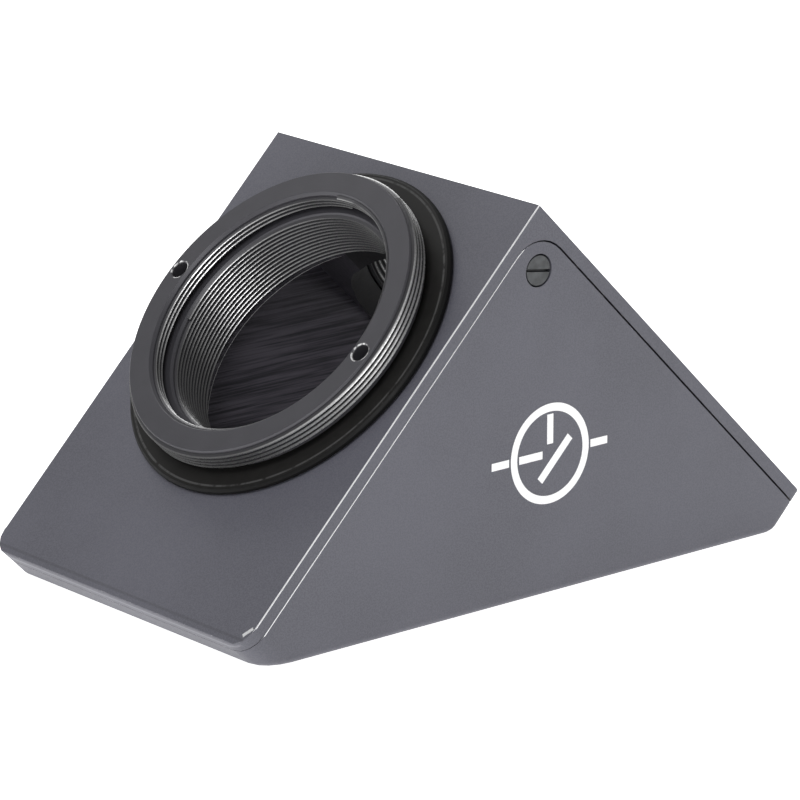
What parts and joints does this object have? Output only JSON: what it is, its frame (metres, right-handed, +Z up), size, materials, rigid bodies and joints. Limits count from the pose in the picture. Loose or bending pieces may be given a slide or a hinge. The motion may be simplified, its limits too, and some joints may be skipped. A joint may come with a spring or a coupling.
{
  "type": "star diagonal",
  "caption": "Heavy triangular mirror diagonal on its long base, with a screw-in threaded ring on the front port and a flush threaded rear port.",
  "frame": {"origin": "centre of the base's underside, below the ridge", "axes": "+Z up from the base, +Y along the ridge, -X towards the front port with the threaded ring"},
  "size_m": [0.111, 0.061, 0.0606],
  "materials": {
    "body_paint": "dark slate grey satin paint with a fine orange-peel texture",
    "black_anodised": "satin black anodised, turned",
    "flange_black": "glossy black anodised, turned",
    "mirror_coating": "front-surface mirror, polished",
    "bare_aluminium": "milled aluminium",
    "pad_rubber": "matt rubber",
    "black_screws": "blackened steel",
    "bright_steel": "ground steel"
  },
  "bodies": {
    "root": {"port_housing": "body_paint", "mirror_cradle": "body_paint", "rear_thread_insert": "black_anodised", "mirror": "mirror_coating", "mirror_tray": "bare_aluminium", "mirror_pad_1": "pad_rubber", "mirror_pad_2": "pad_rubber", "mirror_pad_3": "pad_rubber", "mirror_clip_front": "bare_aluminium", "mirror_clip_rear": "bare_aluminium", "clip_screw_front_1": "black_screws", "clip_screw_front_2": "black_screws", "clip_screw_rear_1": "black_screws", "clip_screw_rear_2": "black_screws", "tray_screw_1": "black_screws", "tray_screw_2": "black_screws", "tray_screw_3": "black_screws", "cheek_screw_left": "black_screws", "cheek_screw_right": "black_screws", "base_screw_1": "black_screws", "base_screw_2": "black_screws", "base_screw_3": "black_screws", "base_screw_4": "black_screws", "dowel_front": "bright_steel", "dowel_rear": "bright_steel"},
    "flange": {"front_flange_ring": "flange_black"},
    "adapter": {"front_adapter_ring": "black_anodised", "front_thread_sleeve": "black_anodised"}
  },
  "joints": [
    {"name": "ring_travel", "type": "slide", "parent": "root", "child": "flange", "axis": [-0.7071, 0, 0.7071], "range_m": [0, 0.0062]},
    {"name": "ring_turn", "type": "hinge", "parent": "flange", "child": "adapter", "pos_m": [-0.02206, 0, 0.03833], "axis": [-0.7071, 0, 0.7071], "range_deg": [0, 2160]}
  ],
  "couplings": [
    {"joint": "ring_travel", "follows": "ring_turn", "m_per_rad": 0.00015915}
  ]
}
